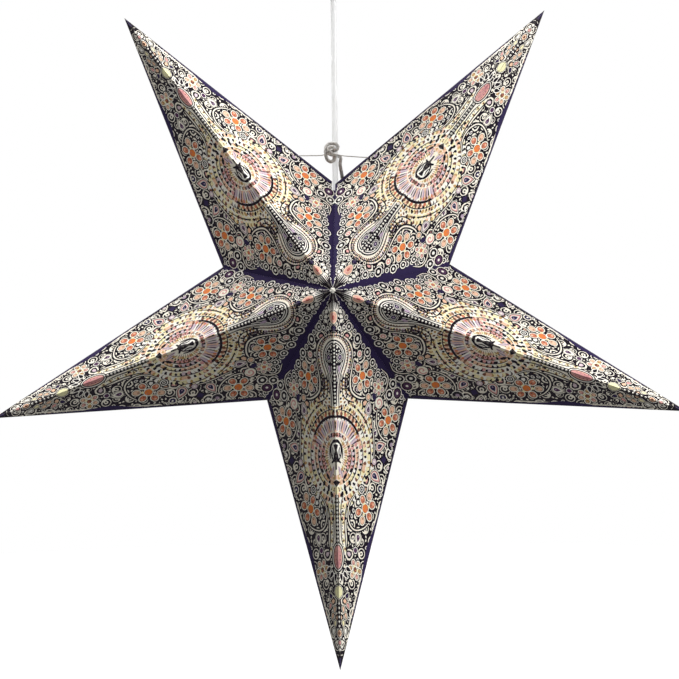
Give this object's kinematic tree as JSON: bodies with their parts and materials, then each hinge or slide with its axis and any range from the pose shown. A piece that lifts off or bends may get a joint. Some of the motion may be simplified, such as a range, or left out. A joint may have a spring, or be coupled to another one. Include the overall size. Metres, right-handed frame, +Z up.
{
  "type": "paper star lantern",
  "caption": "Folded paper star lantern with pointed, ridged arms, hung by a knotted tie around a lamp cord that carries a lampholder and bulb inside it from a ceiling cup.",
  "frame": {"origin": "middle of the ceiling plate's flat top face, where it meets the ceiling", "axes": "+Z up, out of the plate's top face; the star hangs below with its front facing -Y; +X is to its right as seen from the front"},
  "size_m": [0.5998, 0.2198, 0.6533],
  "materials": {
    "printed_paper": "matte",
    "white_plastic": "satin",
    "white_rubber": "matte",
    "white_cord": "satin",
    "grey_tie": "matte",
    "grey_string": "matte",
    "zinc_steel": "satin",
    "brass": "satin",
    "frosted_glass": "satin"
  },
  "bodies": {
    "ceiling_fitting": {"ceiling_plate": "zinc_steel", "ceiling_cup": "white_plastic", "cup_side_screw": "zinc_steel", "cord_grip": "white_plastic", "grip_nut": "white_plastic", "terminal_block": "white_plastic", "feed_cord": "white_cord"},
    "strain_relief": {"cord_strain_relief": "white_rubber"},
    "pendant": {"lamp_cord": "white_cord", "hanging_tie": "grey_tie", "hanging_knot": "grey_tie", "tie_string_middle": "grey_string", "lampholder_cap": "white_plastic", "lampholder_body": "white_plastic", "lampholder_core": "white_plastic", "lampholder_ring": "white_plastic"},
    "bulb": {"bulb_screw_shell": "brass", "bulb_globe": "frosted_glass"},
    "bottom_arm_front_right": {"bottom_arm_front_right_panel": "printed_paper"},
    "bottom_arm_front_left": {"bottom_arm_front_left_panel": "printed_paper"},
    "right_arm_front_lower": {"right_arm_front_lower_panel": "printed_paper"},
    "right_arm_front_upper": {"right_arm_front_upper_panel": "printed_paper"},
    "upper_right_arm_front_lower": {"upper_right_arm_front_lower_panel": "printed_paper"},
    "upper_right_arm_front_upper": {"upper_right_arm_front_upper_panel": "printed_paper", "tie_string_right": "grey_string"},
    "left_arm_front_lower": {"left_arm_front_lower_panel": "printed_paper"},
    "left_arm_front_upper": {"left_arm_front_upper_panel": "printed_paper"},
    "upper_left_arm_front_lower": {"upper_left_arm_front_lower_panel": "printed_paper"},
    "upper_left_arm_front_upper": {"upper_left_arm_front_upper_panel": "printed_paper", "tie_string_left": "grey_string"},
    "bottom_arm_back_right": {"bottom_arm_back_right_panel": "printed_paper"},
    "right_arm_back_lower": {"right_arm_back_lower_panel": "printed_paper"},
    "right_arm_back_upper": {"right_arm_back_upper_panel": "printed_paper"},
    "upper_right_arm_back_lower": {"upper_right_arm_back_lower_panel": "printed_paper"},
    "upper_right_arm_back_upper": {"upper_right_arm_back_upper_panel": "printed_paper"},
    "bottom_arm_back_left": {"bottom_arm_back_left_panel": "printed_paper"},
    "left_arm_back_lower": {"left_arm_back_lower_panel": "printed_paper"},
    "left_arm_back_upper": {"left_arm_back_upper_panel": "printed_paper"},
    "upper_left_arm_back_lower": {"upper_left_arm_back_lower_panel": "printed_paper"},
    "upper_left_arm_back_upper": {"upper_left_arm_back_upper_panel": "printed_paper"}
  },
  "joints": [
    {"name": "swing", "type": "hinge", "parent": "ceiling_fitting", "child": "strain_relief", "pos_m": [0, 0, -0.051], "axis": [1, 0, 0], "range_deg": [-15, 15]},
    {"name": "twist", "type": "hinge", "parent": "strain_relief", "child": "pendant", "pos_m": [0, 0, -0.051], "axis": [0, 0, 1], "range_deg": [-180, 180]},
    {"name": "bulb_out", "type": "slide", "parent": "pendant", "child": "bulb", "axis": [0, 0, -1], "range_m": [0, 0.03]},
    {"name": "bottom_arm_front_right_fold", "type": "hinge", "parent": "pendant", "child": "bottom_arm_front_right", "pos_m": [0, -0.11, -0.338], "axis": [0, -0.3292, 0.9443], "range_deg": [0, 12.5]},
    {"name": "bottom_arm_front_left_fold", "type": "hinge", "parent": "pendant", "child": "bottom_arm_front_left", "pos_m": [0, -0.11, -0.338], "axis": [0, 0.3292, -0.9443], "range_deg": [0, 12.5]},
    {"name": "right_arm_front_lower_fold", "type": "hinge", "parent": "bottom_arm_front_right", "child": "right_arm_front_lower", "pos_m": [0, -0.11, -0.338], "axis": [0.4038, 0.7266, -0.5558], "range_deg": [0, 26.64]},
    {"name": "right_arm_front_upper_fold", "type": "hinge", "parent": "right_arm_front_lower", "child": "right_arm_front_upper", "pos_m": [0, -0.11, -0.338], "axis": [-0.898, -0.3292, 0.2918], "range_deg": [0, 25]},
    {"name": "upper_right_arm_front_lower_fold", "type": "hinge", "parent": "right_arm_front_upper", "child": "upper_right_arm_front_lower", "pos_m": [0, -0.11, -0.338], "axis": [0.6534, 0.7266, 0.2123], "range_deg": [0, 26.64]},
    {"name": "upper_right_arm_front_upper_fold", "type": "hinge", "parent": "upper_right_arm_front_lower", "child": "upper_right_arm_front_upper", "pos_m": [0, -0.11, -0.338], "axis": [-0.555, -0.3292, -0.7639], "range_deg": [0, 25]},
    {"name": "left_arm_front_lower_fold", "type": "hinge", "parent": "bottom_arm_front_left", "child": "left_arm_front_lower", "pos_m": [0, -0.11, -0.338], "axis": [0.4038, -0.7266, 0.5558], "range_deg": [0, 26.64]},
    {"name": "left_arm_front_upper_fold", "type": "hinge", "parent": "left_arm_front_lower", "child": "left_arm_front_upper", "pos_m": [0, -0.11, -0.338], "axis": [-0.898, 0.3292, -0.2918], "range_deg": [0, 25]},
    {"name": "upper_left_arm_front_lower_fold", "type": "hinge", "parent": "left_arm_front_upper", "child": "upper_left_arm_front_lower", "pos_m": [0, -0.11, -0.338], "axis": [0.6534, -0.7266, -0.2123], "range_deg": [0, 26.64]},
    {"name": "upper_left_arm_front_upper_fold", "type": "hinge", "parent": "upper_left_arm_front_lower", "child": "upper_left_arm_front_upper", "pos_m": [0, -0.11, -0.338], "axis": [-0.555, 0.3292, 0.7639], "range_deg": [0, 25]},
    {"name": "bottom_arm_back_right_fold", "type": "hinge", "parent": "bottom_arm_front_right", "child": "bottom_arm_back_right", "pos_m": [0.06113, 0, -0.42214], "axis": [-0.2555, 0, -0.9668], "range_deg": [0, 23.98]},
    {"name": "right_arm_back_lower_fold", "type": "hinge", "parent": "right_arm_front_lower", "child": "right_arm_back_lower", "pos_m": [0.06113, 0, -0.42214], "axis": [-0.9984, 0, 0.0558], "range_deg": [0, 23.98]},
    {"name": "right_arm_back_upper_fold", "type": "hinge", "parent": "right_arm_front_upper", "child": "right_arm_back_upper", "pos_m": [0.09891, 0, -0.30586], "axis": [0.8406, 0, -0.5417], "range_deg": [0, 23.98]},
    {"name": "upper_right_arm_back_lower_fold", "type": "hinge", "parent": "upper_right_arm_front_lower", "child": "upper_right_arm_back_lower", "pos_m": [0.09891, 0, -0.30586], "axis": [-0.3616, 0, -0.9323], "range_deg": [0, 23.98]},
    {"name": "upper_right_arm_back_upper_fold", "type": "hinge", "parent": "upper_right_arm_front_upper", "child": "upper_right_arm_back_upper", "pos_m": [0, 0, -0.234], "axis": [0.7749, 0, 0.632], "range_deg": [0, 23.98]},
    {"name": "bottom_arm_back_left_fold", "type": "hinge", "parent": "bottom_arm_front_left", "child": "bottom_arm_back_left", "pos_m": [-0.06113, 0, -0.42214], "axis": [-0.2555, 0, 0.9668], "range_deg": [0, 23.98]},
    {"name": "left_arm_back_lower_fold", "type": "hinge", "parent": "left_arm_front_lower", "child": "left_arm_back_lower", "pos_m": [-0.06113, 0, -0.42214], "axis": [-0.9984, 0, -0.0558], "range_deg": [0, 23.98]},
    {"name": "left_arm_back_upper_fold", "type": "hinge", "parent": "left_arm_front_upper", "child": "left_arm_back_upper", "pos_m": [-0.09891, 0, -0.30586], "axis": [0.8406, 0, 0.5417], "range_deg": [0, 23.98]},
    {"name": "upper_left_arm_back_lower_fold", "type": "hinge", "parent": "upper_left_arm_front_lower", "child": "upper_left_arm_back_lower", "pos_m": [-0.09891, 0, -0.30586], "axis": [-0.3616, 0, 0.9323], "range_deg": [0, 23.98]},
    {"name": "upper_left_arm_back_upper_fold", "type": "hinge", "parent": "upper_left_arm_front_upper", "child": "upper_left_arm_back_upper", "pos_m": [0, 0, -0.234], "axis": [0.7749, 0, -0.632], "range_deg": [0, 23.98]}
  ],
  "couplings": [
    {"joint": "bottom_arm_front_left_fold", "follows": "bottom_arm_front_right_fold", "ratio": 1},
    {"joint": "right_arm_front_lower_fold", "follows": "bottom_arm_front_right_fold", "ratio": 2.1309},
    {"joint": "right_arm_front_upper_fold", "follows": "bottom_arm_front_right_fold", "ratio": 2},
    {"joint": "upper_right_arm_front_lower_fold", "follows": "bottom_arm_front_right_fold", "ratio": 2.1309},
    {"joint": "upper_right_arm_front_upper_fold", "follows": "bottom_arm_front_right_fold", "ratio": 2},
    {"joint": "left_arm_front_lower_fold", "follows": "bottom_arm_front_right_fold", "ratio": 2.1309},
    {"joint": "left_arm_front_upper_fold", "follows": "bottom_arm_front_right_fold", "ratio": 2},
    {"joint": "upper_left_arm_front_lower_fold", "follows": "bottom_arm_front_right_fold", "ratio": 2.1309},
    {"joint": "upper_left_arm_front_upper_fold", "follows": "bottom_arm_front_right_fold", "ratio": 2},
    {"joint": "bottom_arm_back_right_fold", "follows": "bottom_arm_front_right_fold", "ratio": 1.9188},
    {"joint": "right_arm_back_lower_fold", "follows": "bottom_arm_front_right_fold", "ratio": 1.9188},
    {"joint": "right_arm_back_upper_fold", "follows": "bottom_arm_front_right_fold", "ratio": 1.9188},
    {"joint": "upper_right_arm_back_lower_fold", "follows": "bottom_arm_front_right_fold", "ratio": 1.9188},
    {"joint": "upper_right_arm_back_upper_fold", "follows": "bottom_arm_front_right_fold", "ratio": 1.9188},
    {"joint": "bottom_arm_back_left_fold", "follows": "bottom_arm_front_right_fold", "ratio": 1.9188},
    {"joint": "left_arm_back_lower_fold", "follows": "bottom_arm_front_right_fold", "ratio": 1.9188},
    {"joint": "left_arm_back_upper_fold", "follows": "bottom_arm_front_right_fold", "ratio": 1.9188},
    {"joint": "upper_left_arm_back_lower_fold", "follows": "bottom_arm_front_right_fold", "ratio": 1.9188},
    {"joint": "upper_left_arm_back_upper_fold", "follows": "bottom_arm_front_right_fold", "ratio": 1.9188}
  ]
}
